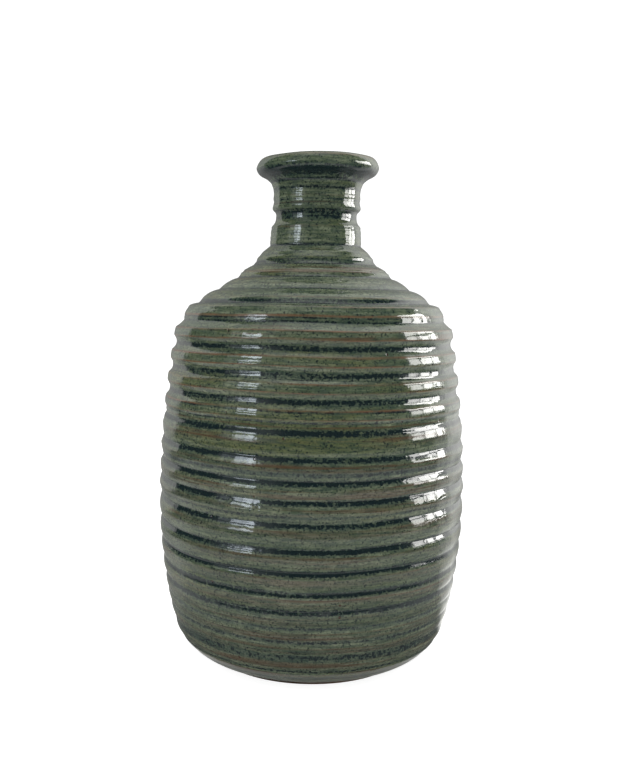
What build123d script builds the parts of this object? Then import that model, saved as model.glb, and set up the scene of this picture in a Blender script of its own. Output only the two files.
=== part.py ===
"""A ribbed stoneware sake bottle, as the clay sections a potter throws and lutes, and the glaze on them.

Millimetres, +Z up, origin at the centre of the circle that the foot stands on. Every piece is a solid
turned about Z. All of them come from one cross-section, the glazed outline of the whole bottle, which is
split into the outer glaze, the liner glaze, the clay sections and the slip in the seams between them.
"""

import math
import os

from build123d import *

# Overall sizes
HEIGHT = 228.0
BELLY_RADIUS = 70.5
BELLY_Z = 74.0
WALL = 6.2

# Foot: a turned ring of bare clay round a shallow recess
FOOT_RADIUS = 46.6
FOOT_WIDTH = 6.6
FOOT_HEIGHT = 4.0
FOOT_EDGE = 0.8
GLAZE_LINE_Z = 1.9
FLOOR_THICKNESS = 6.0
HEEL_BULGE = 2.0

# Barrel: round throwing ribs between valleys (height, depth), then flat-topped bands over hollow grooves
RIB_VALLEYS = [
    (12.5, 0.45),
    (19.6, 0.5),
    (26.4, 0.5),
    (32.6, 0.45),
    (39.6, 0.85),
    (47.6, 0.85),
    (56.4, 0.9),
    (65.4, 1.0),
    (75.9, 1.3),
    (85.0, 1.2),
    (92.8, 1.4),
    (102.0, 0.95),
    (112.6, 1.15),
]
BAND_FIRST_Z = 118.7
BAND_PITCH = 10.4
BAND_COUNT = 4
BAND_LAND = 3.6
BAND_CROWN = 0.15
GROOVE_DEPTH = 1.55
TOP_GROOVE_DEPTH = 0.35
SHOULDER_Z = 152.0
UPPER_TAPER = 0.104
LOWER_TAPER = 0.168
HEEL_TAPER = 0.05
HEEL_POWER = 8

# Shoulder: terraces between these creases (radius, height), from the barrel up to the neck root
SHOULDER_CREASES = [
    (59.5, 155.0),
    (52.9, 162.5),
    (43.6, 168.7),
    (35.2, 173.9),
    (28.1, 179.8),
    (20.8, 188.4),
]
TERRACE_BULGES = [1.2, 0.75, 0.7, 0.7]
SLOPING_BAND = [(59.3, 157.6), (56.7, 161.4)]
SLOPING_BAND_BULGES = [0.1, 0.25, 0.2]

# Inside: the smooth dome under the shoulder (radius, height), and the round corner into the floor
SHOULDER_INSIDE = [(16.0, 184.5), (22.5, 178.5), (32.0, 171.0), (42.0, 163.0), (50.5, 155.0)]
CORNER_REACH = 13.0
CORNER_HEIGHT = 16.0

# Neck: two flat rings with a hollow groove between them (radius, height), then the flare and the lip
LOW_RING_TOP = (20.0, 197.4)
HIGH_RING_FOOT = (19.5, 204.3)
HIGH_RING_TOP = (19.7, 213.2)
LOW_RING_BULGE = 0.3
HIGH_RING_BULGE = 0.15
NECK_GROOVE_DEPTH = 1.3
FLARE_HOLLOW = 1.3
LIP_CENTRE = (24.0, 223.9)
LIP_CORNERS = [
    (25.6, 220.2),
    (28.0, 223.6),
    (26.4, 226.9),
    (24.0, 228.0),
]
LIP_BULGES = [0.5, 0.2, 0.3]
FUNNEL_BULGE = 1.6
BORE_RADIUS = 14.0
BORE_BOTTOM_Z = 190.0
BORE_TOP_Z = 212.0

# Glaze, and the slip in the scarfed seams
GLAZE = 0.45
LINER_EDGE_RADIUS = 21.6
SLIP = 0.6
SCARF = 3.0


def barrel_radius(z):
    """Radius over the rib crests at a height on the barrel."""
    if z < BELLY_Z:
        drop = (BELLY_Z - z) / BELLY_Z
        return BELLY_RADIUS * (1 - LOWER_TAPER * drop**2 - HEEL_TAPER * drop**HEEL_POWER)
    rise = (z - BELLY_Z) / (SHOULDER_Z - BELLY_Z)
    return BELLY_RADIUS * (1 - UPPER_TAPER * rise**2)


def inner_radius(z):
    """Radius of the smooth inside of the barrel at a height."""
    return barrel_radius(z) - GROOVE_DEPTH - WALL


def valley(i, coat):
    """The lowest point of the valley under a round rib."""
    z, depth = RIB_VALLEYS[i]
    return (barrel_radius(z) - depth - coat, z)


def bulged(start, end, bulge):
    """Arc from start to end that stands out by bulge to the right of the way it runs."""
    run = Vector(end[0] - start[0], end[1] - start[1])
    outward = Vector(run.Y, -run.X).normalized() * bulge
    middle = ((start[0] + end[0]) / 2 + outward.X, (start[1] + end[1]) / 2 + outward.Y)
    return ThreePointArc(start, middle, end)


def chained(points):
    """Straight edges from each point to the next."""
    return [Line(a, b) for a, b in zip(points, points[1:])]


def foot_and_heel(coat):
    """From the recess under the floor, round the foot ring, to the first rib valley."""
    foot_inner = FOOT_RADIUS - FOOT_WIDTH
    glaze_start = (FOOT_RADIUS + FOOT_EDGE - coat, GLAZE_LINE_Z)
    foot = [
        (0, FOOT_HEIGHT),
        (foot_inner - FOOT_EDGE, FOOT_HEIGHT),
        (foot_inner, FOOT_EDGE),
        (foot_inner + FOOT_EDGE, 0),
        (FOOT_RADIUS - FOOT_EDGE, 0),
        glaze_start,
    ]
    return chained(foot) + [bulged(glaze_start, valley(0, coat), HEEL_BULGE)]


def round_ribs(coat):
    """The round ribs, each one an arc from valley to valley that touches the barrel's curve."""
    edges = []
    for i in range(len(RIB_VALLEYS) - 1):
        low = valley(i, coat)
        top = valley(i + 1, coat)
        crest_z = (low[1] + top[1]) / 2
        edges.append(ThreePointArc(low, (barrel_radius(crest_z) - coat, crest_z), top))
    return edges


def flat_bands(coat):
    """The flat-topped bands, each with a hollow groove below it, and the slope to the shoulder."""
    start = valley(-1, coat)
    edges = []
    for i in range(BAND_COUNT):
        low_z = BAND_FIRST_Z + BAND_PITCH * i - BAND_LAND / 2
        high_z = low_z + BAND_LAND
        low = (barrel_radius(low_z) - coat, low_z)
        high = (barrel_radius(high_z) - coat, high_z)
        hollow = GROOVE_DEPTH if i else TOP_GROOVE_DEPTH
        edges += [bulged(start, low, -hollow), bulged(low, high, BAND_CROWN)]
        start = high
    return edges + [bulged(start, crease(0, coat), -TOP_GROOVE_DEPTH)]


def set_back(point, coat):
    """A point of the shoulder, set back by coat square to its slope of about 45 degrees."""
    back = coat * math.sqrt(0.5)
    return (point[0] - back, point[1] - back)


def crease(i, coat):
    """A shoulder crease under the glaze."""
    return set_back(SHOULDER_CREASES[i], coat)


def terraces(coat):
    """The stepped shoulder: a sloping band, then one rounded terrace between each two creases."""
    band = [crease(0, coat), *[set_back(point, coat) for point in SLOPING_BAND], crease(1, coat)]
    edges = [bulged(band[i], band[i + 1], SLOPING_BAND_BULGES[i]) for i in range(3)]
    for i, bulge in enumerate(TERRACE_BULGES, start=1):
        edges.append(bulged(crease(i, coat), crease(i + 1, coat), bulge))
    return edges


def lip_corner(i, coat):
    """A corner of the lip's section, set back by coat towards the middle of the lip."""
    centre = Vector(*LIP_CENTRE)
    spoke = Vector(*LIP_CORNERS[i]) - centre
    corner = centre + spoke.normalized() * (spoke.length - coat)
    return (corner.X, corner.Y)


def lip(coat):
    """The lip's outer edge: its under side, its upright face and the round over its top."""
    return [bulged(lip_corner(i, coat), lip_corner(i + 1, coat), LIP_BULGES[i]) for i in range(3)]


def neck_and_lip(coat):
    """The neck rings, the flare under the lip, the lip and the funnel into the bore."""
    low_top, high_foot, high_top = [
        (radius - coat, z) for radius, z in (LOW_RING_TOP, HIGH_RING_FOOT, HIGH_RING_TOP)
    ]
    bore_top = (BORE_RADIUS + coat, BORE_TOP_Z)
    return [
        bulged(crease(-1, coat), low_top, LOW_RING_BULGE),
        bulged(low_top, high_foot, -NECK_GROOVE_DEPTH),
        bulged(high_foot, high_top, HIGH_RING_BULGE),
        bulged(high_top, lip_corner(0, coat), -FLARE_HOLLOW),
        *lip(coat),
        bulged(lip_corner(-1, coat), bore_top, FUNNEL_BULGE),
        Line(bore_top, (BORE_RADIUS + coat, BORE_BOTTOM_Z)),
    ]


def inside(coat):
    """From the foot of the bore down the smooth inside of the shoulder and barrel to the floor."""
    floor_z = FOOT_HEIGHT + FLOOR_THICKNESS - coat
    back = coat * math.sqrt(0.5)
    under_shoulder = [(radius + back, z + back) for radius, z in SHOULDER_INSIDE]
    corner_top_z = FOOT_HEIGHT + FLOOR_THICKNESS + CORNER_HEIGHT
    centre_radius = inner_radius(corner_top_z) - CORNER_REACH
    corner = []
    for angle in (20, 45, 70, 90):
        turn = math.radians(angle)
        radius = centre_radius + (CORNER_REACH + coat) * math.cos(turn)
        corner.append((radius, corner_top_z - (CORNER_HEIGHT + coat) * math.sin(turn)))
    down_barrel = [(inner_radius(z) + coat, z) for z in range(144, int(corner_top_z), -12)]
    points = [(BORE_RADIUS + coat, BORE_BOTTOM_Z), *under_shoulder, *down_barrel, *corner]
    floor = [corner[-1], (0, floor_z), (0, FOOT_HEIGHT)]
    return [Spline(points), *chained(floor)]


def whole_section(coat):
    """The bottle's cross-section right of the axis, with coat taken off wherever glaze lies."""
    edges = foot_and_heel(coat) + round_ribs(coat) + flat_bands(coat)
    edges += terraces(coat) + neck_and_lip(coat) + inside(coat)
    return make_face(Wire(edges))


def polygon(*points):
    """A flat region with straight sides, for cutting the cross-section."""
    return make_face(Polyline(*points, close=True))


def liner_region():
    """Everything inside the middle of the wall, up through the mouth."""
    floor_z = FOOT_HEIGHT + FLOOR_THICKNESS
    mid_wall = WALL / 2 + 1
    neck_mid = BORE_RADIUS + 2.5
    return polygon(
        (-5, floor_z - 2),
        (FOOT_RADIUS + 4, floor_z - 2),
        (barrel_radius(20) - mid_wall, 20),
        (BELLY_RADIUS - mid_wall, BELLY_Z),
        (barrel_radius(130) - mid_wall, 130),
        (57.5, 152),
        (44.5, 166),
        (27, 178),
        (neck_mid, BORE_BOTTOM_Z),
        (neck_mid, BORE_TOP_Z),
        (LINER_EDGE_RADIUS, HEIGHT - 3),
        (LINER_EDGE_RADIUS, HEIGHT + 5),
        (-5, HEIGHT + 5),
    )


def seam_strip(outer, fall):
    """The strip of slip in a scarfed seam: it leaves the outside at outer and falls inwards."""
    radius, z = outer
    reach = 4 * WALL
    drop = fall * reach / WALL
    return polygon(
        (radius - reach, z - drop),
        (radius + reach, z + drop),
        (radius + reach, z + drop + SLIP),
        (radius - reach, z - drop + SLIP),
    )


def turned(section):
    """The solid of a cross-section turned once round the bottle's axis."""
    return revolve(Plane.XZ * section, axis=Axis.Z)


def glaze_sections():
    """The outer glaze, from the glaze line over the lip, and the liner glaze from there down inside."""
    coat = whole_section(0) - whole_section(GLAZE)
    bare_foot = polygon((-5, -5), (80, -5), (80, GLAZE_LINE_Z), (-5, GLAZE_LINE_Z))
    within = liner_region()
    return coat - within - bare_foot, coat & within


def seam_strips():
    """The strip of slip in each seam, from the foot up, in the order the seams part the clay."""
    wide = 2 * BELLY_RADIUS
    foot_strip = polygon(
        (-wide, FOOT_HEIGHT - SLIP),
        (wide, FOOT_HEIGHT - SLIP),
        (wide, FOOT_HEIGHT),
        (-wide, FOOT_HEIGHT),
    )
    return {
        "foot_seam_slip": foot_strip,
        "base_seam_slip": seam_strip(valley(0, 0), -SCARF),
        "shoulder_seam_slip": seam_strip(SHOULDER_CREASES[0], SCARF),
        "neck_seam_slip": seam_strip(SHOULDER_CREASES[-1], SCARF),
    }


def clay_sections(clay):
    """The slip in the seams and the clay sections that they part, by node name."""
    strips = seam_strips()
    slips = {name: clay & strip for name, strip in strips.items()}
    for strip in strips.values():
        clay = clay - strip
    from_the_foot = clay.faces().sort_by(Axis.Y)
    names = ["foot_ring", "base_slab", "barrel_wall", "shoulder_dome", "neck_collar"]
    return slips | dict(zip(names, from_the_foot, strict=True))


def main():
    """Builds every piece and writes one STEP file for each."""
    outer, liner = glaze_sections()
    sections = clay_sections(whole_section(0) - outer - liner)
    sections |= {"outer_glaze": outer, "liner_glaze": liner}
    os.makedirs("parts", exist_ok=True)
    for name, section in sections.items():
        export_step(turned(section), f"parts/{name}.step")


if __name__ == "__main__":
    main()
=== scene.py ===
"""The looks of a ribbed, green-glazed stoneware sake bottle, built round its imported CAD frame.

Every piece is turned from one profile of the bottle and then pushed slightly out of true, all together,
so that the clay sections, the slip in their seams and the two glazes still fit each other.
"""

import logging
import math
from dataclasses import dataclass, field
from enum import Enum
from typing import Callable

import bpy
import numpy as np
from mathutils import Matrix, Vector

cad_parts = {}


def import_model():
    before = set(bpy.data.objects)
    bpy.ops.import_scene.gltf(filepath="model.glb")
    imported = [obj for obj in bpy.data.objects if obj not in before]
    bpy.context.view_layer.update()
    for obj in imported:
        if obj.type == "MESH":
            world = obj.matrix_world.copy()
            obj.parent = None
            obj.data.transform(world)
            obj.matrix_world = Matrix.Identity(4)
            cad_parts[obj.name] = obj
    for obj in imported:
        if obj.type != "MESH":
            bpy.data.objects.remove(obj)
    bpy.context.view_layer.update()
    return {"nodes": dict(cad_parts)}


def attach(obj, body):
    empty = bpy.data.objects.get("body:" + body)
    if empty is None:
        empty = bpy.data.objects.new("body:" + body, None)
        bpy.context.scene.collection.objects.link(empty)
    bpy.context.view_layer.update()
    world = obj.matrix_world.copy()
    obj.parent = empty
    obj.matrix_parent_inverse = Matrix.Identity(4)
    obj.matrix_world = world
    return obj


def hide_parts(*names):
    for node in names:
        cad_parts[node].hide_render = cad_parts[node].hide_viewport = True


log = logging.getLogger("sake_bottle")

MM = 0.001
ROOT = "root"

Point = tuple[float, float]
Colour = tuple[float, float, float]
Socket = bpy.types.NodeSocket
Tree = bpy.types.NodeTree


class Slot(Enum):
    """The record's material slots."""

    CLAY = "clay"
    SLIP = "slip"
    OUTER_GLAZE = "outer_glaze"
    LINER_GLAZE = "liner_glaze"


# ---------------------------------------------------------------------------------------------------
# The bottle's profile, in millimetres
# ---------------------------------------------------------------------------------------------------


@dataclass
class Station:
    """One point of a profile, with what the glaze does there.

    Args:
        radius: Distance from the bottle's axis.
        z: Height above the table.
        pooled: How deep the glaze has pooled, 0 to 1.
        broken: How far the glaze has broken to rust on an edge, 0 to 1.
        streaked: How brown the thin glaze beside a valley is, 0 to 1.
        green: How green rather than grey the glaze is, 0 to 1.
        warm: How thin and warm the glaze runs, 0 to 1.
        ring: How far a fine throwing line stands out, in millimetres.
    """

    radius: float
    z: float
    pooled: float = 0.0
    broken: float = 0.0
    streaked: float = 0.0
    green: float = 0.0
    warm: float = 0.0
    ring: float = 0.0


def near(distance: float, width: float) -> float:
    """A bell curve: 1 at no distance, and almost 0 at twice the width."""
    return math.exp(-((distance / width) ** 2))


@dataclass
class ThrowingLines:
    """The fine rings that fingers and sponge leave all over a thrown pot."""

    seed: int = 5
    count: int = 170
    low_z: float = 6.0
    high_z: float = 219.0
    depth: float = 0.11

    def __post_init__(self) -> None:
        """Draws each line's height, width and depth."""
        draw = np.random.default_rng(self.seed)
        self.heights = np.sort(draw.uniform(self.low_z, self.high_z, self.count))
        self.widths = draw.uniform(0.25, 1.0, self.count)
        self.depths = draw.normal(0.0, self.depth, self.count).clip(-2 * self.depth, 2 * self.depth)

    def at(self, z: float) -> float:
        """How far the lines stand the surface out at a height, in millimetres."""
        return float(np.sum(self.depths * np.exp(-(((z - self.heights) / self.widths) ** 2))))


@dataclass
class BottleForm:
    """The bottle's outline and inside, as the potter left them."""

    height: float = 228.0
    belly_radius: float = 70.5
    belly_z: float = 74.0
    shoulder_z: float = 152.0
    upper_taper: float = 0.104
    lower_taper: float = 0.168
    heel_taper: float = 0.05
    heel_power: float = 8.0
    wall: float = 6.2
    glaze: float = 0.45
    foot_radius: float = 46.6
    foot_width: float = 6.6
    foot_height: float = 4.0
    foot_edge: float = 0.8
    glaze_line_z: float = 1.9
    floor_z: float = 10.0
    heel_bulge: float = 2.0
    rib_valleys: tuple[Point, ...] = (
        (12.5, 0.45), (19.6, 0.5), (26.4, 0.5), (32.6, 0.45), (39.6, 0.85), (47.6, 0.85), (56.4, 0.9),
        (65.4, 1.0), (75.9, 1.3), (85.0, 1.2), (92.8, 1.4), (102.0, 0.95), (112.6, 1.15),
    )
    land_centres: tuple[float, ...] = (118.7, 129.1, 139.5, 149.9)
    land: float = 3.6
    land_crown: float = 0.12
    groove_depths: tuple[float, ...] = (0.3, 1.55, 1.6, 1.6)
    creases: tuple[Point, ...] = (
        (59.5, 155.0), (52.9, 162.5), (43.6, 168.7), (35.2, 173.9), (28.1, 179.8), (20.8, 188.4),
    )
    terrace_bulges: tuple[float, ...] = (1.2, 0.75, 0.7, 0.7)
    over_bands_hollow: float = 0.35
    sloping_band: tuple[Point, ...] = ((59.3, 157.6), (56.7, 161.4))
    sloping_band_bulges: tuple[float, ...] = (0.1, 0.25, 0.2)
    low_ring_top: Point = (20.0, 197.4)
    low_ring_bulge: float = 0.3
    high_ring_foot: Point = (19.5, 204.3)
    high_ring_top: Point = (19.7, 213.2)
    high_ring_bulge: float = 0.15
    neck_groove_depth: float = 1.3
    flare_hollow: float = 1.3
    lip_centre: Point = (24.0, 223.9)
    lip_corners: tuple[Point, ...] = ((25.6, 220.2), (28.0, 223.6), (26.4, 226.9), (24.0, 228.0))
    lip_bulges: tuple[float, ...] = (0.5, 0.2, 0.3)
    funnel_bulge: float = 1.6
    bore_radius: float = 14.0
    bore_bottom_z: float = 190.0
    bore_top_z: float = 212.0
    dome: tuple[Point, ...] = ((16.0, 184.5), (22.5, 178.5), (32.0, 171.0), (42.0, 163.0), (50.5, 155.0))
    corner_reach: float = 13.0
    corner_height: float = 16.0
    groove_depth: float = 1.55
    neck_line_share: float = 0.1
    green_ribs: tuple[Point, ...] = ((107.0, 3.5), (97.0, 3.0))
    outside_softness: float = 0.28
    inside_softness: float = 1.2
    lines: ThrowingLines = field(default_factory=ThrowingLines)

    def barrel(self, z: float) -> float:
        """Radius over the rib crests at a height on the barrel.

        Args:
            z: The height.

        Returns:
            The radius.
        """
        if z < self.belly_z:
            drop = (self.belly_z - z) / self.belly_z
            shrink = self.lower_taper * drop**2 + self.heel_taper * drop**self.heel_power
        else:
            rise = (z - self.belly_z) / (self.shoulder_z - self.belly_z)
            shrink = self.upper_taper * rise**2
        return self.belly_radius * (1 - shrink)

    def inner(self, z: float) -> float:
        """Radius of the smooth inside of the barrel at a height."""
        return self.barrel(z) - self.groove_depth - self.wall

    def crease(self, i: int, coat: float) -> Point:
        """A shoulder crease, set back by coat square to a slope of about 45 degrees.

        Args:
            i: Which crease, from the barrel up.
            coat: Thickness of glaze taken off.

        Returns:
            Its radius and height.
        """
        back = coat * math.sqrt(0.5)
        radius, z = self.creases[i]
        return (radius - back, z - back)

    def lip_corner(self, i: int, coat: float) -> Point:
        """A corner of the lip's section, set back by coat towards the middle of the lip.

        Args:
            i: Which corner, from below and over the lip.
            coat: Thickness of glaze taken off.

        Returns:
            Its radius and height.
        """
        radius, z = self.lip_corners[i]
        run = (radius - self.lip_centre[0], z - self.lip_centre[1])
        share = 1 - coat / math.hypot(*run)
        return (self.lip_centre[0] + run[0] * share, self.lip_centre[1] + run[1] * share)

    def outside(self, coat: float, step: float) -> list[Station]:
        """The outside from the glaze line on the foot, over the lip, to where the liner starts.

        Args:
            coat: Thickness of glaze taken off.
            step: Longest distance between stations.

        Returns:
            The stations, from the foot up and over the lip.
        """
        line = Outline(step)
        line.start((self.foot_radius + self.foot_edge - coat, self.glaze_line_z))
        first_z, first_depth = self.rib_valleys[0]
        line.bulge_to((self.barrel(first_z) - first_depth - coat, first_z), self.heel_bulge)
        for low, high in zip(self.rib_valleys, self.rib_valleys[1:]):
            crest_z = (low[0] + high[0]) / 2
            top = (self.barrel(high[0]) - high[1] - coat, high[0])
            line.through((self.barrel(crest_z) - coat, crest_z), top)
        for centre, depth in zip(self.land_centres, self.groove_depths):
            low_z, high_z = centre - self.land / 2, centre + self.land / 2
            line.bulge_to((self.barrel(low_z) - coat, low_z), -depth)
            line.bulge_to((self.barrel(high_z) - coat, high_z), self.land_crown)
        line.bulge_to(self.crease(0, coat), -self.over_bands_hollow)
        back = coat * math.sqrt(0.5)
        band_ends = [(radius - back, z - back) for radius, z in self.sloping_band]
        for end, bulge in zip([*band_ends, self.crease(1, coat)], self.sloping_band_bulges):
            line.bulge_to(end, bulge)
        for i, bulge in enumerate(self.terrace_bulges, start=2):
            line.bulge_to(self.crease(i, coat), bulge)
        line.bulge_to((self.low_ring_top[0] - coat, self.low_ring_top[1]), self.low_ring_bulge)
        line.bulge_to((self.high_ring_foot[0] - coat, self.high_ring_foot[1]), -self.neck_groove_depth)
        line.bulge_to((self.high_ring_top[0] - coat, self.high_ring_top[1]), self.high_ring_bulge)
        line.bulge_to(self.lip_corner(0, coat), -self.flare_hollow)
        for i, bulge in enumerate(self.lip_bulges):
            line.bulge_to(self.lip_corner(i + 1, coat), bulge)
        stations = [Station(radius, z) for radius, z in line.rounded(self.outside_softness)]
        stations = self.dressed(stations)
        return self.ringed(stations) if coat == 0 else stations

    def dressed(self, stations: list[Station]) -> list[Station]:
        """Marks where the glaze pools, breaks and thins.

        Args:
            stations: The outside, from the foot up.

        Returns:
            The same stations, marked.
        """
        groove_z = (self.low_ring_top[1] + self.high_ring_foot[1]) / 2
        edges = [c + side * self.land / 2 for c in self.land_centres for side in (-1, 1)]
        for s in stations:
            for z, depth in self.rib_valleys:
                below = z - 0.8 - s.z
                strength = min(0.95, 0.45 + 0.55 * depth)
                s.pooled = max(s.pooled, strength * near(below, 1.5 if depth > 0.6 else 0.9))
                s.streaked = max(s.streaked, near(below - 2.5, 0.55), 0.7 * near(below - 4.4, 0.4))
                s.warm = max(s.warm, near(below - 4.2, 2.0))
            for centre, depth in zip(self.land_centres, self.groove_depths):
                if depth > 1:
                    below = centre - self.land / 2 - 3.3 - s.z
                    s.pooled = max(s.pooled, 0.82 * near(below, 2.1 if below > 0 else 1.1))
                s.green = max(s.green, near(s.z - centre, 2.2))
            for edge_z in edges:
                s.broken = max(s.broken, near(s.z - edge_z, 0.28))
            for i, (radius, z) in enumerate(self.creases):
                if s.z > self.shoulder_z:
                    away = math.hypot(s.radius - radius, s.z - z)
                    s.pooled = max(s.pooled, 0.75 * near(away, 1.0))
                    s.broken = max(s.broken, 0.45 * near(away - 3.4, 0.3) * (s.z > z) * (0 < i < 4))
            for i, (radius, z) in enumerate(self.sloping_band):
                away = math.hypot(s.radius - radius, s.z - z)
                s.broken = max(s.broken, (1.0 - 0.35 * i) * near(away, 0.4))
            s.pooled = max(s.pooled, 0.8 * near(s.z - groove_z, 1.3))
            s.pooled = max(s.pooled, 0.6 * near(s.z - self.creases[-1][1], 0.9))
            s.pooled = max(s.pooled, 0.7 * near(s.z - self.high_ring_top[1] - 0.3, 1.2))
            s.pooled = max(s.pooled, 0.55 * near(s.z - self.high_ring_foot[1] - 2.6, 0.6))
            if s.z > self.high_ring_top[1]:
                s.pooled = max(s.pooled, near(s.z - 220.2, 3.0) * (s.radius > 21) * (s.z < 223.8))
                s.broken = max(s.broken, 0.6 * near(s.z - self.lip_corners[2][1], 0.35))
            s.green = max(s.green, *(near(s.z - z, spread) for z, spread in self.green_ribs))
            s.green = max(s.green, 0.8 * (s.z > self.low_ring_top[1]))
            s.ring = self.lines.at(s.z) * (1.6 if s.z > self.shoulder_z else 1.0)
        return stations

    def ringed(self, stations: list[Station]) -> list[Station]:
        """Cuts the fine throwing lines, shallower on the flat bands and none at the foot or lip.

        Args:
            stations: The outside, marked.

        Returns:
            The same stations, cut.
        """
        for s in stations:
            flat = max(near(s.z - centre, 2.0) for centre in self.land_centres)
            neck = self.neck_line_share * (s.z > self.creases[-1][1])
            s.radius += s.ring * (1 + neck - 0.75 * flat)
        return stations

    def inside(self, coat: float, step: float) -> list[Station]:
        """The inside from the middle of the floor, up the bore, to where the outer glaze starts.

        Args:
            coat: Thickness of glaze taken off.
            step: Longest distance between stations.

        Returns:
            The stations, from the floor up and out to the lip.
        """
        floor_z = self.floor_z - coat
        top_z = self.floor_z + self.corner_height
        centre = self.inner(top_z) - self.corner_reach
        line = Outline(step)
        line.start((0.0, floor_z))
        line.line_to((centre, floor_z))
        for angle in range(85, -1, -5):
            turn = math.radians(angle)
            radius = centre + (self.corner_reach + coat) * math.cos(turn)
            line.line_to((radius, top_z - (self.corner_height + coat) * math.sin(turn)))
        for z in range(30, 145, 6):
            line.line_to((self.inner(z) + coat, z))
        back = coat * math.sqrt(0.5)
        for radius, z in reversed(self.dome):
            line.line_to((radius + back, z + back))
        line.line_to((self.bore_radius + coat, self.bore_bottom_z))
        line.line_to((self.bore_radius + coat, self.bore_top_z))
        line.bulge_to(self.lip_corner(-1, coat), -self.funnel_bulge)
        return [Station(radius, z) for radius, z in line.rounded(self.inside_softness)]


class Outline:
    """A line of points in the profile's plane, drawn piece by piece."""

    def __init__(self, step: float) -> None:
        """Keeps the longest distance between points."""
        self.step = step
        self.points: list[Point] = []

    def start(self, point: Point) -> None:
        """Puts down the first point."""
        self.points = [point]

    def line_to(self, end: Point) -> None:
        """Draws a straight run."""
        self.bulge_to(end, 0.0)

    def bulge_to(self, end: Point, bulge: float) -> None:
        """Draws an arc.

        Args:
            end: Where it ends.
            bulge: How far it stands out to the right of its run.
        """
        start = self.points[-1]
        run = (end[0] - start[0], end[1] - start[1])
        length = math.hypot(*run)
        outward = (run[1] / length, -run[0] / length)
        count = max(1, math.ceil(length / self.step))
        for i in range(1, count + 1):
            t = i / count
            lift = bulge * 4 * t * (1 - t)
            radius = start[0] + run[0] * t + outward[0] * lift
            self.points.append((radius, start[1] + run[1] * t + outward[1] * lift))

    def through(self, crest: Point, end: Point) -> None:
        """Draws an arc through a crest, which may be off the middle.

        Args:
            crest: The point it passes through.
            end: Where it ends.
        """
        start = self.points[-1]
        run = (end[0] - start[0], end[1] - start[1])
        length = math.hypot(*run)
        outward = (run[1] / length, -run[0] / length)
        bulge = (crest[0] - start[0]) * outward[0] + (crest[1] - start[1]) * outward[1]
        self.bulge_to(end, bulge)

    def rounded(self, reach: float) -> list[Point]:
        """The points with every corner softened.

        Args:
            reach: How far along the line a corner is spread, as a standard deviation.

        Returns:
            The softened points, with both ends where they were.
        """
        path = np.array(self.points)
        along = np.concatenate([[0], np.cumsum(np.hypot(*np.diff(path, axis=0).T))])
        keep = np.concatenate([[True], np.diff(along) > 1e-6])
        path, along = path[keep], along[keep]
        fine = np.arange(0, along[-1], min(0.1, self.step))
        even = np.stack([np.interp(fine, along, path[:, k]) for k in (0, 1)], axis=1)
        spread = int(math.ceil(3 * reach / (fine[1] - fine[0])))
        offsets = np.arange(-spread, spread + 1) * (fine[1] - fine[0])
        weights = np.exp(-0.5 * (offsets / reach) ** 2)
        weights /= weights.sum()
        before = 2 * even[0] - even[spread:0:-1]
        after = 2 * even[-1] - even[-2 : -spread - 2 : -1]
        padded = np.concatenate([before, even, after])
        soft = np.stack([np.convolve(padded[:, k], weights, mode="valid") for k in (0, 1)], axis=1)
        soft[0] = path[0]
        return self.thinned(soft, path[-1])

    def thinned(self, soft: np.ndarray, last: np.ndarray) -> list[Point]:
        """Fewer points where the line is straight, and all that it needs where it turns.

        Args:
            soft: The softened points, evenly spaced.
            last: The line's true end.

        Returns:
            The points that are kept.
        """
        heading = np.unwrap(np.arctan2(*np.diff(soft, axis=0).T[::-1]))
        kept = [tuple(soft[0])]
        gone, turned = 0.0, 0.0
        for i in range(1, len(soft) - 1):
            gone += math.hypot(*(soft[i] - soft[i - 1]))
            turned += abs(heading[i] - heading[i - 1])
            if gone >= self.step or (turned > 0.16 and gone > 0.15):
                kept.append(tuple(soft[i]))
                gone, turned = 0.0, 0.0
        return [(float(r), float(z)) for r, z in kept] + [(float(last[0]), float(last[1]))]


# ---------------------------------------------------------------------------------------------------
# From profile to mesh
# ---------------------------------------------------------------------------------------------------


@dataclass
class ThrowingWobble:
    """How far the whole bottle is out of true, the same for every piece of it."""

    seed: int = 11
    settle_z: float = 18.0
    round_amount: float = 0.16
    level_amount: float = 0.22
    lean: float = 0.65
    tilt: float = 0.5
    lean_from_z: float = 180.0
    top_z: float = 228.0
    lip_radius: float = 28.0
    full_radius: float = 60.0
    waves: list[tuple[int, float, float]] = field(default_factory=list)

    def __post_init__(self) -> None:
        """Draws the waves round the pot: how many, how they climb, and where they start."""
        draw = np.random.default_rng(self.seed)
        for count in (1, 2, 3, 5, 8):
            self.waves.append((count, float(draw.uniform(0.015, 0.06)), float(draw.uniform(0, math.tau))))

    def pushed(self, radius: np.ndarray, z: np.ndarray, angle: np.ndarray) -> tuple[np.ndarray, np.ndarray]:
        """Moves points out of true.

        Args:
            radius: Distances from the axis.
            z: Heights.
            angle: Angles round the axis.

        Returns:
            The new radii and heights.
        """
        settle = np.clip(z / self.settle_z, 0, 1) ** 2
        share = np.clip(radius / self.full_radius, 0, 1) * settle
        out, up = np.zeros_like(radius), np.zeros_like(radius)
        for count, climb, phase in self.waves:
            size = 1 / math.sqrt(count)
            out += size * np.sin(count * angle + phase + climb * z)
            up += size * np.sin(count * angle + 2.1 * phase - 1.3 * climb * z)
        neck = np.clip((z - self.lean_from_z) / (self.top_z - self.lean_from_z), 0, 1)
        out = self.round_amount * share * out + self.lean * neck * np.cos(angle)
        up = self.level_amount * share * up + self.tilt * neck**4 * (radius / self.lip_radius) * np.cos(angle)
        return radius + out, z + up


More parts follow.
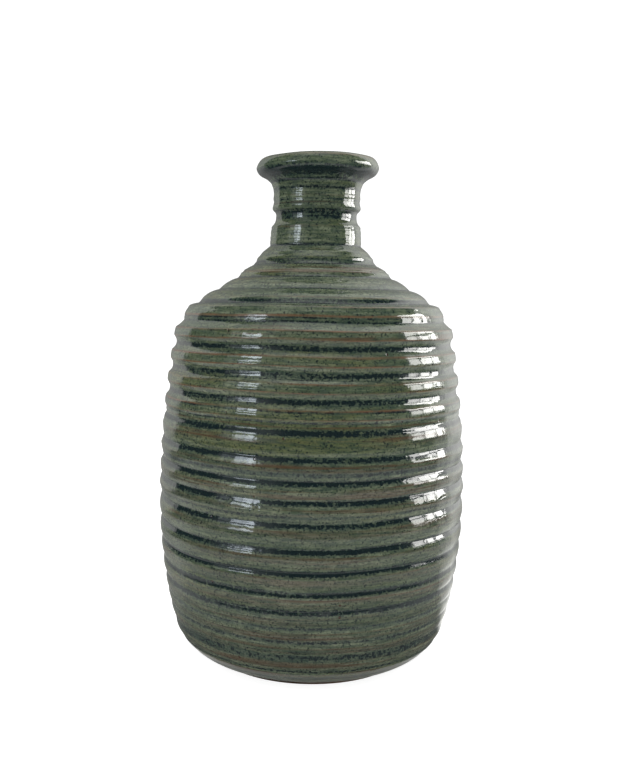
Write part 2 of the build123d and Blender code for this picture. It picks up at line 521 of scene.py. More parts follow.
@dataclass
class Lathe:
    """Turns closed profiles into pieces that ride on the bottle."""

    wobble: ThrowingWobble

    def turn(self, name: str, loop: list[Station], sides: int) -> bpy.types.Object:
        """Turns one piece.

        Args:
            name: The piece's name.
            loop: Its profile, closed, or open with both ends on the axis.
            sides: Steps round the axis.

        Returns:
            The piece, in metres, with its smooth mesh and glaze marks.
        """
        on_axis = loop[0].radius < 1e-6 and loop[-1].radius < 1e-6
        rows = loop[1:-1] if on_axis else loop
        angle = np.linspace(0, math.tau, sides, endpoint=False)[None, :]
        radius = np.array([s.radius for s in rows])[:, None] + 0 * angle
        z = np.array([s.z for s in rows])[:, None] + 0 * angle
        radius, z = self.wobble.pushed(radius, z, 0 * radius + angle)
        points = np.stack([radius * np.cos(angle), radius * np.sin(angle), z], axis=-1).reshape(-1, 3)
        faces = self.quads(len(rows), sides, closed=not on_axis)
        if on_axis:
            points = np.concatenate([points, [[0, 0, loop[0].z], [0, 0, loop[-1].z]]])
            faces += self.fans(len(rows), sides)
        mesh = bpy.data.meshes.new(name)
        mesh.from_pydata((points * MM).tolist(), [], faces)
        mesh.polygons.foreach_set("use_smooth", [True] * len(mesh.polygons))
        self.mark(mesh, rows, sides)
        self.unwrap(mesh, len(rows), sides)
        mesh.update()
        piece = bpy.data.objects.new(name, mesh)
        bpy.context.scene.collection.objects.link(piece)
        return piece

    def quads(self, rows: int, sides: int, closed: bool) -> list[tuple[int, ...]]:
        """The quads between the rows.

        Args:
            rows: Number of rows.
            sides: Vertices in a row.
            closed: True if the last row joins the first.

        Returns:
            The faces, wound outwards for a profile that runs up the outside.
        """
        faces = []
        for i in range(rows if closed else rows - 1):
            low, high = i * sides, (i + 1) % rows * sides
            for j in range(sides):
                k = (j + 1) % sides
                faces.append((low + j, low + k, high + k, high + j))
        return faces

    def fans(self, rows: int, sides: int) -> list[tuple[int, ...]]:
        """The triangles that close both ends on the axis.

        Args:
            rows: Number of rows.
            sides: Vertices in a row.

        Returns:
            The triangles.
        """
        first, last, base = rows * sides, rows * sides + 1, (rows - 1) * sides
        faces = []
        for j in range(sides):
            k = (j + 1) % sides
            faces += [(first, k, j), (last, base + j, base + k)]
        return faces

    def mark(self, mesh: bpy.types.Mesh, rows: list[Station], sides: int) -> None:
        """Writes the glaze marks as attributes that the materials read.

        Args:
            mesh: The turned mesh.
            rows: The profile that it was turned from.
            sides: Vertices in a row.
        """
        spare = len(mesh.vertices) - len(rows) * sides
        for name in ("pooled", "broken", "streaked", "green", "warm", "ring"):
            values = np.repeat([getattr(s, name) for s in rows], sides)
            layer = mesh.attributes.new(name, "FLOAT", "POINT")
            layer.data.foreach_set("value", np.concatenate([values, np.zeros(spare)]))

    def unwrap(self, mesh: bpy.types.Mesh, rows: int, sides: int) -> None:
        """Lays the turned faces out flat, once round by once along the profile.

        Args:
            mesh: The turned mesh.
            rows: Number of rows.
            sides: Vertices in a row.
        """
        layer = mesh.uv_layers.new(name="OFBake")
        corner = np.zeros(len(mesh.loops), dtype=np.int32)
        mesh.loops.foreach_get("vertex_index", corner)
        face_start = np.zeros(len(mesh.polygons), dtype=np.int32)
        mesh.polygons.foreach_get("loop_start", face_start)
        sizes = np.zeros(len(mesh.polygons), dtype=np.int32)
        mesh.polygons.foreach_get("loop_total", sizes)
        row = corner // sides
        side = corner % sides
        face = np.repeat(np.arange(len(sizes)), sizes)
        place = np.arange(len(corner)) - face_start[face]
        face_row, face_side = row[face_start[face]], side[face_start[face]]
        turned = sizes[face] == 4
        across = np.where(turned, face_side + np.isin(place, (1, 2)), side)
        along = np.where(turned, face_row + np.isin(place, (2, 3)), np.minimum(row, rows))
        uv = np.stack([across / sides, along / (rows + 1)], axis=1)
        layer.data.foreach_set("uv", uv.astype(np.float32).ravel())


# ---------------------------------------------------------------------------------------------------
# Shader node groups
# ---------------------------------------------------------------------------------------------------


def number_in(tree: Tree, name: str, value: float) -> None:
    """Adds a number input to a node group."""
    socket = tree.interface.new_socket(name, in_out="INPUT", socket_type="NodeSocketFloat")
    socket.default_value = value


def number_out(tree: Tree, name: str) -> None:
    """Adds a number output to a node group."""
    tree.interface.new_socket(name, in_out="OUTPUT", socket_type="NodeSocketFloat")


@dataclass
class Wiring:
    """Short ways to add nodes to one tree."""

    tree: Tree

    def node(self, kind: str, **settings: object) -> bpy.types.Node:
        """Adds a node.

        Args:
            kind: The node's type name.
            settings: Its properties.

        Returns:
            The node.
        """
        made = self.tree.nodes.new(kind)
        for name, value in settings.items():
            setattr(made, name, value)
        return made

    def feed(self, target: Socket, value: object) -> None:
        """Links a socket, or sets the socket's own value.

        Args:
            target: The input.
            value: An output to link, or a plain value.
        """
        if isinstance(value, bpy.types.NodeSocket):
            self.tree.links.new(value, target)
        else:
            target.default_value = value

    def maths(self, what: str, a: object, b: object = 0.0) -> Socket:
        """One sum.

        Args:
            what: The operation's name.
            a: The first number or socket.
            b: The second number or socket.

        Returns:
            The result's socket.
        """
        made = self.node("ShaderNodeMath", operation=what)
        self.feed(made.inputs[0], a)
        self.feed(made.inputs[1], b)
        return made.outputs[0]

    def ramp(self, value: Socket, low: object, high: object, to: Point = (0.0, 1.0)) -> Socket:
        """A smooth step.

        Args:
            value: What is read.
            low: Where the step starts.
            high: Where it ends.
            to: The values at its two ends.

        Returns:
            The result's socket.
        """
        made = self.node("ShaderNodeMapRange", interpolation_type="SMOOTHSTEP")
        self.feed(made.inputs["Value"], value)
        self.feed(made.inputs["From Min"], low)
        self.feed(made.inputs["From Max"], high)
        self.feed(made.inputs["To Min"], to[0])
        self.feed(made.inputs["To Max"], to[1])
        return made.outputs["Result"]

    def mix(self, share: Socket, a: object, b: object) -> Socket:
        """Blends two colours.

        Args:
            share: How much of the second, 0 to 1.
            a: The first colour or socket.
            b: The second colour or socket.

        Returns:
            The blend's socket.
        """
        made = self.node("ShaderNodeMix", data_type="RGBA")
        self.feed(made.inputs["Factor"], share)
        self.feed(made.inputs["A"], (*a, 1.0) if isinstance(a, tuple) else a)
        self.feed(made.inputs["B"], (*b, 1.0) if isinstance(b, tuple) else b)
        return made.outputs["Result"]

    def noise(self, place: Socket, scale: object, detail: float, roughness: float = 0.5) -> Socket:
        """Cloudy noise.

        Args:
            place: Where it is read.
            scale: Clouds to the metre.
            detail: Octaves.
            roughness: How strong the finer octaves are.

        Returns:
            The noise's socket, 0 to 1.
        """
        made = self.node("ShaderNodeTexNoise")
        self.feed(made.inputs["Vector"], place)
        self.feed(made.inputs["Scale"], scale)
        self.feed(made.inputs["Detail"], detail)
        self.feed(made.inputs["Roughness"], roughness)
        return made.outputs[0]


class GlazeEffects:
    """The node groups that the finishes share, each built once."""

    def __init__(self) -> None:
        """Builds the groups."""
        self.streaks = self.build("wheel_streaks", self.fill_streaks)
        self.speckle = self.build("glaze_speckle", self.fill_speckle)
        self.spots = self.build("iron_spots", self.fill_spots)

    def build(self, name: str, fill: Callable[[Tree, Wiring], None]) -> Tree:
        """Makes one group.

        Args:
            name: The group's name.
            fill: Adds its sockets and nodes.

        Returns:
            The group.
        """
        tree = bpy.data.node_groups.new(name, "ShaderNodeTree")
        fill(tree, Wiring(tree))
        return tree

    def ends(self, tree: Tree) -> tuple[bpy.types.Node, bpy.types.Node]:
        """The group's input and output nodes."""
        return tree.nodes.new("NodeGroupInput"), tree.nodes.new("NodeGroupOutput")

    def fill_streaks(self, tree: Tree, w: Wiring) -> None:
        """Streaks drawn out round the pot, fine up and down and long across.

        Args:
            tree: The group.
            w: Its wiring.
        """
        number_in(tree, "Scale", 18.0)
        number_in(tree, "Stretch", 22.0)
        number_in(tree, "Low", 0.4)
        number_in(tree, "High", 0.6)
        number_out(tree, "Mask")
        start, end = self.ends(tree)
        coordinates = w.node("ShaderNodeTexCoord")
        longways = w.node("ShaderNodeCombineXYZ")
        w.feed(longways.inputs["X"], 1.0)
        w.feed(longways.inputs["Y"], 1.0)
        w.feed(longways.inputs["Z"], start.outputs["Stretch"])
        stretched = w.node("ShaderNodeVectorMath", operation="MULTIPLY")
        w.feed(stretched.inputs[0], coordinates.outputs["Object"])
        w.feed(stretched.inputs[1], longways.outputs[0])
        cloud = w.noise(stretched.outputs[0], start.outputs["Scale"], 4.0, 0.62)
        w.feed(end.inputs["Mask"], w.ramp(cloud, start.outputs["Low"], start.outputs["High"]))

    def fill_speckle(self, tree: Tree, w: Wiring) -> None:
        """Grainy flecks, as many as the amount asks for.

        Args:
            tree: The group.
            w: Its wiring.
        """
        number_in(tree, "Scale", 1400.0)
        number_in(tree, "Amount", 0.5)
        number_in(tree, "Softness", 0.1)
        number_out(tree, "Mask")
        start, end = self.ends(tree)
        coordinates = w.node("ShaderNodeTexCoord")
        grain = w.noise(coordinates.outputs["Object"], start.outputs["Scale"], 2.0, 0.6)
        level = w.ramp(start.outputs["Amount"], 0.0, 1.0, (0.78, 0.22))
        top = w.maths("ADD", level, start.outputs["Softness"])
        bottom = w.maths("SUBTRACT", level, start.outputs["Softness"])
        w.feed(end.inputs["Mask"], w.ramp(grain, bottom, top))

    def fill_spots(self, tree: Tree, w: Wiring) -> None:
        """Scattered round spots of iron, and the pits that some of them leave.

        Args:
            tree: The group.
            w: Its wiring.
        """
        number_in(tree, "Scale", 160.0)
        number_in(tree, "Size", 0.1)
        number_in(tree, "Share", 0.12)
        number_out(tree, "Mask")
        start, end = self.ends(tree)
        coordinates = w.node("ShaderNodeTexCoord")
        cells = w.node("ShaderNodeTexVoronoi", feature="F1")
        w.feed(cells.inputs["Vector"], coordinates.outputs["Object"])
        w.feed(cells.inputs["Scale"], start.outputs["Scale"])
        half = w.maths("MULTIPLY", start.outputs["Size"], 0.5)
        round_spot = w.ramp(cells.outputs["Distance"], half, start.outputs["Size"], (1.0, 0.0))
        lot = w.node("ShaderNodeSeparateColor")
        w.feed(lot.inputs[0], cells.outputs["Color"])
        chosen = w.maths("LESS_THAN", lot.outputs[0], start.outputs["Share"])
        w.feed(end.inputs["Mask"], w.maths("MULTIPLY", round_spot, chosen))


@dataclass(frozen=True)
class Effect:
    """One placing of a node group in a material."""

    tree: Tree
    values: dict[str, object]

    def place(self, w: Wiring) -> Socket:
        """Adds the group to a material and gives its mask.

        Args:
            w: The material's wiring.

        Returns:
            The mask's socket.
        """
        made = w.node("ShaderNodeGroup", node_tree=self.tree)
        for name, value in self.values.items():
            w.feed(made.inputs[name], value)
        return made.outputs["Mask"]


# ---------------------------------------------------------------------------------------------------
# Finishes
# ---------------------------------------------------------------------------------------------------


def new_material(name: str) -> tuple[bpy.types.Material, Wiring, bpy.types.Node]:
    """A node material with only its Principled shader.

    Args:
        name: The material's name.

    Returns:
        The material, its wiring and its shader.
    """
    material = bpy.data.materials.new(name)
    material.use_nodes = True
    wiring = Wiring(material.node_tree)
    shader = next(n for n in material.node_tree.nodes if n.type == "BSDF_PRINCIPLED")
    return material, wiring, shader


@dataclass(frozen=True)
class GreenGlaze:
    """Glossy iron-and-copper green glaze that pools dark and breaks to rust."""

    name: str
    effects: GlazeEffects
    sage: Colour = (0.076, 0.092, 0.058)
    pale: Colour = (0.175, 0.200, 0.135)
    bottle: Colour = (0.024, 0.043, 0.022)
    teal: Colour = (0.015, 0.029, 0.027)
    olive: Colour = (0.080, 0.084, 0.024)
    thin: Colour = (0.094, 0.082, 0.064)
    brown: Colour = (0.052, 0.031, 0.017)
    pool: Colour = (0.0040, 0.0095, 0.0120)
    rust: Colour = (0.100, 0.050, 0.028)
    iron: Colour = (0.030, 0.013, 0.008)
    roughness: float = 0.06

    def build(self) -> bpy.types.Material:
        """Builds the glaze.

        Returns:
            The material.
        """
        material, w, shader = new_material(self.name)
        e = self.effects
        patches = Effect(e.streaks, {"Scale": 14.0, "Stretch": 7.0, "Low": 0.38, "High": 0.62}).place(w)
        olive = Effect(e.streaks, {"Scale": 9.0, "Stretch": 5.0, "Low": 0.50, "High": 0.66}).place(w)
        lines = Effect(e.streaks, {"Scale": 20.0, "Stretch": 34.0, "Low": 0.40, "High": 0.56}).place(w)
        threads = Effect(e.streaks, {"Scale": 46.0, "Stretch": 22.0, "Low": 0.44, "High": 0.60}).place(w)
        wisps = Effect(e.streaks, {"Scale": 150.0, "Stretch": 7.0, "Low": 0.44, "High": 0.60}).place(w)
        grain = Effect(e.speckle, {"Scale": 620.0, "Amount": 0.46, "Softness": 0.07}).place(w)
        dust = Effect(e.speckle, {"Scale": 1200.0, "Amount": 0.38, "Softness": 0.05}).place(w)
        frost = Effect(e.speckle, {"Scale": 840.0, "Amount": 0.36, "Softness": 0.05}).place(w)
        green, ring = self.mark(w, "green"), self.mark(w, "ring")
        colour = w.mix(w.maths("MULTIPLY", threads, 0.55), self.sage, self.pale)
        colour = w.mix(w.maths("MULTIPLY", frost, 0.52), colour, self.pale)
        warm = w.maths("MULTIPLY", self.mark(w, "warm"), w.ramp(lines, 0.0, 1.0, (0.2, 0.75)))
        colour = w.mix(warm, colour, self.thin)
        greener = w.maths("ADD", w.maths("MULTIPLY", patches, 0.4), w.maths("MULTIPLY", green, 0.22))
        colour = w.mix(greener, colour, self.bottle)
        colour = w.mix(w.maths("MULTIPLY", olive, 0.5), colour, self.olive)
        colour = w.mix(w.maths("MULTIPLY", wisps, 0.55), colour, self.teal)
        colour = w.mix(w.maths("MULTIPLY", grain, 0.36), colour, self.bottle)
        colour = w.mix(w.maths("MULTIPLY", dust, 0.85), colour, self.pool)
        patchy = w.maths("MULTIPLY", lines, w.ramp(patches, 0.0, 1.0, (0.95, 0.25)))
        brown = w.maths("MULTIPLY", self.mark(w, "streaked"), patchy)
        colour = w.mix(brown, colour, self.brown)
        high = w.maths("MULTIPLY", w.ramp(ring, 0.03, 0.18), w.ramp(patchy, 0.3, 1.0, (0.0, 0.7)))
        colour = w.mix(high, colour, self.brown)
        pooled = w.maths("MAXIMUM", self.mark(w, "pooled"), w.ramp(ring, -0.01, -0.15, (0.0, 0.66)))
        amount = w.maths("MULTIPLY", pooled, w.ramp(lines, 0.0, 1.0, (0.66, 0.86)))
        flecks = Effect(e.speckle, {"Scale": 760.0, "Amount": amount, "Softness": 0.06}).place(w)
        halo = w.maths("MULTIPLY", w.ramp(pooled, 0.1, 0.8), 0.55)
        colour = w.mix(halo, colour, self.teal)
        dark = w.maths("MULTIPLY", flecks, w.ramp(pooled, 0.0, 0.35, (0.0, 0.92)))
        colour = w.mix(dark, colour, self.pool)
        worn = w.maths("MULTIPLY", w.ramp(lines, 0.0, 1.0, (0.3, 0.95)), w.ramp(wisps, 0.0, 1.0, (1.0, 0.55)))
        colour = w.mix(w.maths("MULTIPLY", self.mark(w, "broken"), worn), colour, self.rust)
        spots = Effect(e.spots, {"Scale": 170.0, "Size": 0.12, "Share": 0.14}).place(w)
        colour = w.mix(w.maths("MULTIPLY", spots, 0.85), colour, self.iron)
        w.feed(shader.inputs["Base Color"], colour)
        w.feed(shader.inputs["Roughness"], w.ramp(lines, 0.0, 1.0, (self.roughness, self.roughness + 0.05)))
        self.ripple(w, shader, spots)
        return material

    def mark(self, w: Wiring, name: str) -> Socket:
        """One of the marks that the lathe wrote on the mesh."""
        return w.node("ShaderNodeAttribute", attribute_name=name).outputs["Fac"]

    def ripple(self, w: Wiring, shader: bpy.types.Node, spots: Socket) -> None:
        """Makes the glaze's surface run and pit slightly.

        Args:
            w: The material's wiring.
            shader: Its Principled shader.
            spots: The mask of the iron spots, which leave pits.
        """
        coordinates = w.node("ShaderNodeTexCoord").outputs["Object"]
        slow = w.noise(coordinates, 160.0, 2.0)
        height = w.maths("SUBTRACT", slow, w.maths("MULTIPLY", spots, 0.6))
        bump = w.node("ShaderNodeBump")
        w.feed(bump.inputs["Strength"], 0.35)
        w.feed(bump.inputs["Distance"], 0.0006)
        w.feed(bump.inputs["Height"], height)
        w.feed(shader.inputs["Normal"], bump.outputs["Normal"])


@dataclass(frozen=True)
class FiredClay:
    """Bare stoneware, brown with iron and slightly rough."""

    name: str
    effects: GlazeEffects
    body: Colour = (0.085, 0.046, 0.026)
    pale: Colour = (0.150, 0.092, 0.055)
    roughness: float = 0.72

    def build(self) -> bpy.types.Material:
        """Builds the clay.

        Returns:
            The material.
        """
        material, w, shader = new_material(self.name)
        e = self.effects
        lines = Effect(e.streaks, {"Scale": 25.0, "Stretch": 20.0, "Low": 0.4, "High": 0.65}).place(w)
        grit = Effect(e.speckle, {"Scale": 1100.0, "Amount": 0.3, "Softness": 0.08}).place(w)
        spots = Effect(e.spots, {"Scale": 220.0, "Size": 0.16, "Share": 0.2}).place(w)
        colour = w.mix(lines, self.body, self.pale)
        colour = w.mix(w.maths("MULTIPLY", grit, 0.5), colour, self.pale)
        colour = w.mix(spots, colour, (0.02, 0.011, 0.008))
        w.feed(shader.inputs["Base Color"], colour)
        w.feed(shader.inputs["Roughness"], w.ramp(grit, 0.0, 1.0, (self.roughness, 0.9)))
        bump = w.node("ShaderNodeBump")
        w.feed(bump.inputs["Strength"], 0.5)
        w.feed(bump.inputs["Distance"], 0.0003)
        w.feed(bump.inputs["Height"], grit)
        w.feed(shader.inputs["Normal"], bump.outputs["Normal"])
        return material


# ---------------------------------------------------------------------------------------------------
# The pieces
# ---------------------------------------------------------------------------------------------------


@dataclass
class Fitter:
    """Puts a finished piece into the frame."""

    count: int = 0

    def fit(self, piece: bpy.types.Object, material: bpy.types.Material, slot: Slot, node: str) -> None:
        """Gives a piece its material and body, and hides the CAD node that it replaces.

        Args:
            piece: The piece.
            material: Its finish.
            slot: The record's slot; not used.
            node: The CAD node that it replaces.
        """
        piece.data.materials.append(material)
        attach(piece, ROOT)
        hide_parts(node)
        self.count += 1
        log.info("%s: %d faces", piece.name, len(piece.data.polygons))


@dataclass
class GlazeCoats:
    """The glass skin: the outer glaze and the liner glaze inside, which meet on top of the lip."""

    form: BottleForm
    lathe: Lathe
    fitter: Fitter
    fine_step: float = 0.7
    coarse_step: float = 2.0
    sides: int = 360
    liner_face_step: float = 1.5
    liner_back_step: float = 3.0
    liner_sides: int = 240

    def outer(self, finish: bpy.types.Material) -> None:
        """Turns the outer glaze.

        Args:
            finish: Its glaze.
        """
        face = self.form.outside(0.0, self.fine_step)
        back = self.form.outside(self.form.glaze, self.coarse_step)
        loop = face + back[::-1]
        piece = self.lathe.turn("green_glaze", loop, self.sides)
        self.fitter.fit(piece, finish, Slot.OUTER_GLAZE, "outer_glaze")

    def liner(self, finish: bpy.types.Material) -> None:
        """Turns the liner glaze.

        Args:
            finish: Its glaze.
        """
        face = self.form.inside(0.0, self.liner_face_step)
        back = self.form.inside(self.form.glaze, self.liner_back_step)
        loop = back + face[::-1]
        piece = self.lathe.turn("liner_coat", loop, self.liner_sides)
        self.fitter.fit(piece, finish, Slot.LINER_GLAZE, "liner_glaze")


@dataclass
class Seam:
    """A scarfed seam between two clay sections.

    Args:
        name: The slip's CAD node.
        outer_z: Height where it meets the outside.
        inner_z: Height where it meets the inside.
    """

    name: str
    outer_z: float
    inner_z: float


@dataclass
class ClaySections:
    """The thrown clay under the glaze, and the slip that joins its sections."""

    form: BottleForm
    lathe: Lathe
    fitter: Fitter
    slip: float = 0.6
    step: float = 2.0
    sides: int = 144
    seams: tuple[Seam, ...] = (
        Seam("base_seam_slip", 12.6, 15.5),
        Seam("shoulder_seam_slip", 154.8, 152.0),
        Seam("neck_seam_slip", 188.2, 185.6),
    )

    def between(self, line: list[Station], low: float, high: float) -> list[Station]:
        """The stretch of a rising line from one height to another, with both ends added.

        Args:
            line: The whole line.
            low: Where the stretch starts.
            high: Where it ends.

        Returns:
            The stretch.
        """
        inner = [s for s in line if low < s.z < high]
        z = np.array([s.z for s in line])
        radius = np.array([s.radius for s in line])
        order = np.argsort(z[: int(np.argmax(z)) + 1])
        ends = [float(np.interp(h, z[order], radius[order])) for h in (low, high)]
        return [Station(ends[0], low), *inner, Station(ends[1], high)]

    def build(self, clay: bpy.types.Material, slip: bpy.types.Material) -> None:
        """Turns the walls and seams above the base.

        Args:
            clay: The clay's finish.
            slip: The slip's finish.
        """
        form = self.form
        outside = form.outside(form.glaze, self.step)
        inside = form.inside(form.glaze, self.step)
        for seam in self.seams:
            out = self.between(outside, seam.outer_z, seam.outer_z + self.slip)
            back = self.between(inside, seam.inner_z, seam.inner_z + self.slip)
            self.fit(seam.name, out + back[::-1], slip, Slot.SLIP)
        walls = ("barrel_wall", "shoulder_dome")
        for name, low, high in zip(walls, self.seams, self.seams[1:]):
            out = self.between(outside, low.outer_z + self.slip, high.outer_z)
            back = self.between(inside, low.inner_z + self.slip, high.inner_z)
            self.fit(name, out + back[::-1], clay, Slot.CLAY)
        top = self.seams[-1]
        first = next(i for i, s in enumerate(outside) if s.z > top.outer_z + self.slip)
        inner_first = next(i for i, s in enumerate(inside) if s.z > top.inner_z + self.slip)
        loop = outside[first:] + inside[inner_first:][::-1][1:]
        self.fit("neck_collar", loop, clay, Slot.CLAY)
        self.base(outside, inside, clay, slip)

    def base(
        self,
        outside: list[Station],
        inside: list[Station],
        clay: bpy.types.Material,
        slip: bpy.types.Material,
    ) -> None:
        """Turns the base slab, the foot ring and the slip between them.

        Args:
            outside: The clay's outside line.
            inside: The clay's inside line.
            clay: The clay's finish.
            slip: The slip's finish.
        """
        form, seam = self.form, self.seams[0]
        low_z, slab_z = form.foot_height - self.slip, form.foot_height
        foot_inner = form.foot_radius - form.foot_width
        slab_out = self.between(outside, slab_z, seam.outer_z)
        slab_in = [s for s in inside if s.z < seam.inner_z]
        slab_in += self.between(inside, seam.inner_z - 0.1, seam.inner_z)[1:]
        slab = [Station(0.0, slab_z), Station(20.0, slab_z), *slab_out, *slab_in[::-1]]
        self.fit("base_slab", slab, clay, Slot.CLAY)
        slip_out = self.between(outside, low_z, slab_z)
        slip_loop = [Station(foot_inner - 0.6, low_z), *slip_out, Station(foot_inner - 0.7, slab_z)]
        self.fit("foot_seam_slip", slip_loop, slip, Slot.SLIP)
        ring_out = self.between(outside, form.glaze_line_z + 0.01, low_z)
        ring = [
            Station(foot_inner - 0.6, low_z),
            Station(foot_inner - 0.25, 1.6),
            Station(foot_inner, 0.5),
            Station(foot_inner + 0.5, 0.0),
            Station(form.foot_radius - form.foot_edge, 0.0),
            Station(form.foot_radius - 0.25, 0.35),
            *ring_out,
        ]
        self.fit("foot_ring", ring, clay, Slot.CLAY)

    def fit(self, node: str, loop: list[Station], finish: bpy.types.Material, slot: Slot) -> None:
        """Turns one piece and fits it in place of its node."""
        self.fitter.fit(self.lathe.turn(f"{node}_thrown", loop, self.sides), finish, slot, node)


# ---------------------------------------------------------------------------------------------------
# The studio
# ---------------------------------------------------------------------------------------------------


@dataclass
class Studio:
    """Pale floor, soft white surroundings, a dark room in front and two windows in it."""

    eye_height: float = 0.1641
    eye_distance: float = 0.4182
    eye_side: float = -0.0014
    pitch: float = 5.36
    roll: float = 0.9
    lens: float = 42.13
    room_radius: float = 3.0
    ceiling_glow: float = 1.45
    room_glow: tuple[Point, ...] = (
        (-180.0, 0.18), (-170.0, 0.2), (-160.0, 0.34), (-150.0, 0.5), (-140.0, 0.68), (-130.0, 0.9),
        (-121.0, 1.2), (-117.0, 0.02), (-76.0, 0.02), (-72.0, 0.3), (-42.0, 0.55), (-17.0, 0.03),
        (112.0, 0.02), (117.0, 1.8), (125.0, 2.3), (135.0, 1.9), (145.0, 1.4), (155.0, 0.85),
        (165.0, 0.42), (175.0, 0.22), (180.0, 0.18),
    )
    table_beside: tuple[Point, ...] = (
        (-180.0, 0.3), (-130.0, 0.35), (-100.0, 0.05), (92.0, 0.05), (100.0, 1.2), (122.0, 1.3),
        (135.0, 0.5), (150.0, 0.35), (180.0, 0.3),
    )
    # Glow of the mirrored table by distance from the axis. It drops close to the foot as a painted contact
    # shadow.
    table_glow: tuple[Point, ...] = (
        (0.06, 0.1), (0.10, 0.35), (0.14, 0.7), (0.22, 0.9), (0.27, 0.8), (0.33, 0.05), (0.5, 0.03),
        (0.9, 0.02), (3.0, 0.02),
    )
    table_lift: float = 0.0004
    window_radius: float = 2.2
    middle_z: float = 0.114
    floor_reach: float = 12.0
    surround_strength: float = 1.14
    overhead_energy: float = 45.0
    side_fills: tuple[Point, ...] = ((98.0, 13.0), (-98.0, 11.0))

    def camera(self) -> None:
        """Puts the camera at eye height in front of the bottle."""
        data = bpy.data.cameras.new("camera")
        data.lens = self.lens
        data.sensor_width = 36.0
        data.clip_start = 0.01
        camera = bpy.data.objects.new("camera", data)
        place = Matrix.Translation((self.eye_side, -self.eye_distance, self.eye_height))
        tilt = Matrix.Rotation(math.radians(90 - self.pitch), 4, "X")
        camera.matrix_world = place @ tilt @ Matrix.Rotation(math.radians(self.roll), 4, "Z")
        bpy.context.scene.collection.objects.link(camera)
        bpy.context.scene.camera = camera

    def floor(self) -> None:
        """Lays the pale floor."""
        mesh = bpy.data.meshes.new("floor")
        half = self.floor_reach
        square = [(-half, -half, 0), (half, -half, 0), (half, half, 0), (-half, half, 0)]
        mesh.from_pydata(square, [], [(0, 1, 2, 3)])
        floor = bpy.data.objects.new("floor", mesh)
        bpy.context.scene.collection.objects.link(floor)
        material, w, shader = new_material("pale_floor")
        path = w.node("ShaderNodeLightPath")
        seen = path.outputs["Is Camera Ray"]
        w.feed(shader.inputs["Base Color"], w.mix(seen, (0.92, 0.92, 0.92), (0.35, 0.35, 0.35)))
        w.feed(shader.inputs["Emission Color"], (1.0, 1.0, 1.0, 1.0))
        w.feed(shader.inputs["Emission Strength"], w.maths("MULTIPLY", seen, 0.9))
        w.feed(shader.inputs["Roughness"], 0.9)
        w.feed(shader.inputs["Specular IOR Level"], 0.0)
        mesh.materials.append(material)

    def surround(self) -> None:
        """Fills the world with soft white."""
        world = bpy.data.worlds.new("soft_white")
        bpy.context.scene.world = world
        world.use_nodes = True
        background = world.node_tree.nodes["Background"]
        background.inputs["Color"].default_value = (1.0, 1.0, 1.0, 1.0)
        background.inputs["Strength"].default_value = self.surround_strength

    def facing(self, azimuth: float, elevation: float, distance: float) -> Matrix:
        """A place round the bottle that looks back at it.

        Args:
            azimuth: Degrees to the right of the camera, as seen from the bottle.
            elevation: Degrees above the bottle's middle.
            distance: Metres from the bottle.

        Returns:
            The matrix, with -Z towards the bottle.
        """
        turn, rise = math.radians(azimuth), math.radians(elevation)
        away = Vector((math.sin(turn) * math.cos(rise), -math.cos(turn) * math.cos(rise), math.sin(rise)))
        place = Vector((0, 0, self.middle_z)) + away * distance
        return Matrix.Translation(place) @ away.to_track_quat("Z", "Y").to_matrix().to_4x4()

    def window_pane(
        self,
        azimuth: float,
        elevation: float,
        size: Point,
        power: float,
        colour: Colour,
    ) -> None:
        """Hangs one bright pane.

        Args:
            azimuth: Degrees to the right of the camera.
            elevation: Degrees above the bottle's middle.
            size: Width and height in metres.
            power: Radiance.
            colour: Its tint.
        """
        data = bpy.data.lights.new("window_pane", "AREA")
        data.shape = "RECTANGLE"
        data.size, data.size_y = size
        data.energy = power * size[0] * size[1] * math.pi
        data.color = colour
        pane = bpy.data.objects.new("window_pane", data)
        pane.matrix_world = self.facing(azimuth, elevation, self.window_radius)
        pane.visible_camera = False
        pane.visible_diffuse = False
        bpy.context.scene.collection.objects.link(pane)

    def windows(self) -> None:
        """Hangs a tall window on the right and a smaller, bluer one on the left."""
        for i, azimuth in enumerate((84.0, 96.5, 109.0)):
            for elevation, tall in ((-6.0, 0.30), (7.0, 0.50), (24.0, 0.60)):
                power = 16.0 if i else 11.0
                self.window_pane(azimuth, elevation, (0.40, tall), power, (1.0, 0.99, 0.96))
        for azimuth, wide, power in ((-46.0, 0.30, 11.0), (-55.0, 0.30, 7.0), (-66.0, 0.30, 0.9)):
            for elevation, tall in ((-2.0, 0.2), (9.0, 0.16), (20.0, 0.36)):
                self.window_pane(azimuth, elevation, (wide, tall), power, (0.82, 0.91, 1.0))

    def side_fill(self) -> None:
        """Lights the bottle softly from both sides, without being mirrored in it."""
        for azimuth, energy in self.side_fills:
            data = bpy.data.lights.new("side_fill", "AREA")
            data.shape = "RECTANGLE"
            data.size, data.size_y = 1.2, 1.6
            data.energy = energy
            light = bpy.data.objects.new("side_fill", data)
            light.matrix_world = self.facing(azimuth, 12.0, self.window_radius)
            light.visible_camera = False
            light.visible_glossy = False
            bpy.context.scene.collection.objects.link(light)

    def overhead(self) -> None:
        """Hangs a wide soft light over the bottle, which lights but isn't mirrored."""
        data = bpy.data.lights.new("overhead", "AREA")
        data.size = 4.0
        data.energy = self.overhead_energy
        light = bpy.data.objects.new("overhead", data)
        light.location = (0.0, -0.2, 2.6)
        light.visible_camera = False
        light.visible_glossy = False
        bpy.context.scene.collection.objects.link(light)

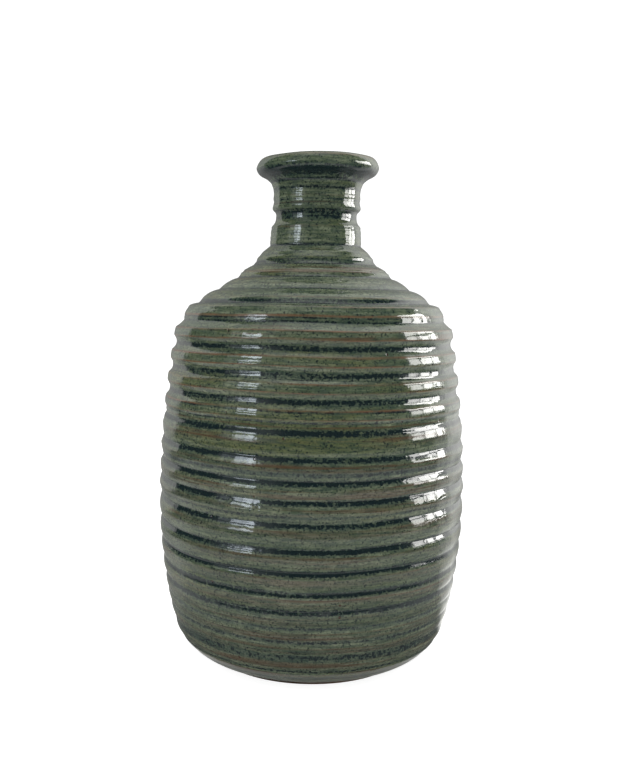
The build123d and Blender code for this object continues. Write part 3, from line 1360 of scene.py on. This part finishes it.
    def mirrored(self, name: str, points: list[Vector], glows: list[float], columns: int) -> None:
        """Hangs or lays a glowing cloth that is seen only as a reflection.

        Args:
            name: Its name.
            points: Its corners, row by row.
            glows: How bright it is at each corner.
            columns: How many corners a row has.
        """
        faces = []
        for i in range(len(points) // columns - 1):
            for j in range(columns - 1):
                low = i * columns + j
                faces.append((low, low + 1, low + 1 + columns, low + columns))
        mesh = bpy.data.meshes.new(name)
        mesh.from_pydata(points, [], faces)
        mesh.attributes.new("glow", "FLOAT", "POINT").data.foreach_set("value", glows)
        cloth = bpy.data.objects.new(name, mesh)
        bpy.context.scene.collection.objects.link(cloth)
        material, w, shader = new_material(name)
        glow = w.node("ShaderNodeAttribute", attribute_name="glow").outputs["Fac"]
        w.feed(shader.inputs["Base Color"], (0.0, 0.0, 0.0, 1.0))
        w.feed(shader.inputs["Specular IOR Level"], 0.0)
        w.feed(shader.inputs["Emission Color"], (1.0, 1.0, 0.97, 1.0))
        w.feed(shader.inputs["Emission Strength"], glow)
        mesh.materials.append(material)
        cloth.visible_camera = False
        cloth.visible_diffuse = False
        cloth.visible_shadow = False
        cloth.visible_transmission = False

    def dark_room(self) -> None:
        """Puts up what the glaze mirrors: a room, dark in front, and a table, pale close by but dim right at
        the foot as a painted contact shadow.
        """
        turns = np.radians(np.linspace(-180.0, 180.0, 145))
        beside = np.interp(np.degrees(turns), *zip(*self.room_glow))
        dome, dome_glow, table, table_glow = [], [], [], []
        for rise in np.radians((-14.0, 0.0, 15.0, 30.0, 45.0, 60.0, 66.0, 72.0, 78.0, 84.0, 90.0)):
            share = float(np.interp(math.degrees(rise), (60.0, 78.0), (0.0, 1.0)))
            for turn, side in zip(turns, beside):
                flat = math.cos(rise) * self.room_radius
                up = math.sin(rise) * self.room_radius
                dome.append(Vector((math.sin(turn) * flat, -math.cos(turn) * flat, up)))
                dome_glow.append(float(side * (1 - share) + self.ceiling_glow * share))
        behind = np.interp(np.degrees(turns), (-130.0, -100.0, 90.0, 104.0), (1.0, 0.0, 0.0, 1.0))
        close = np.interp(np.degrees(turns), *zip(*self.table_beside))
        for distance, glow in self.table_glow:
            far = float(np.interp(distance, (0.25, 0.9), (0.0, 0.85)))
            for turn, share, side, low in zip(turns, behind, beside, close):
                table.append(Vector((math.sin(turn) * distance, -math.cos(turn) * distance, self.table_lift)))
                table_glow.append(float(glow * (1 - share) + (side * far + low * (1 - far)) * share))
        self.mirrored("mirrored_room", dome, dome_glow, len(turns))
        self.mirrored("mirrored_table", table, table_glow, len(turns))

    def build(self) -> None:
        """Sets up camera, floor, surroundings and lights."""
        self.camera()
        self.floor()
        self.surround()
        self.overhead()
        self.side_fill()
        self.windows()
        self.dark_room()
        view = bpy.context.scene.view_settings
        view.view_transform = "Standard"
        view.look = "None"


def main() -> None:
    """Builds the bottle's looks."""
    logging.basicConfig(level=logging.INFO, format="%(name)s: %(message)s")
    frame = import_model()
    log.info("%d nodes in the frame", len(frame["nodes"]))
    form = BottleForm()
    lathe = Lathe(ThrowingWobble())
    effects = GlazeEffects()
    fitter = Fitter()
    glaze = GreenGlaze("green_glaze_outside", effects).build()
    lining = GreenGlaze("green_glaze_inside", effects).build()
    clay = FiredClay("fired_clay", effects).build()
    slip = FiredClay("fired_slip", effects, body=(0.12, 0.075, 0.045), pale=(0.2, 0.14, 0.09)).build()
    coats = GlazeCoats(form, lathe, fitter)
    coats.outer(glaze)
    coats.liner(lining)
    ClaySections(form, lathe, fitter).build(clay, slip)
    Studio().build()
    log.info("%d pieces", fitter.count)


if __name__ == "__main__":
    main()
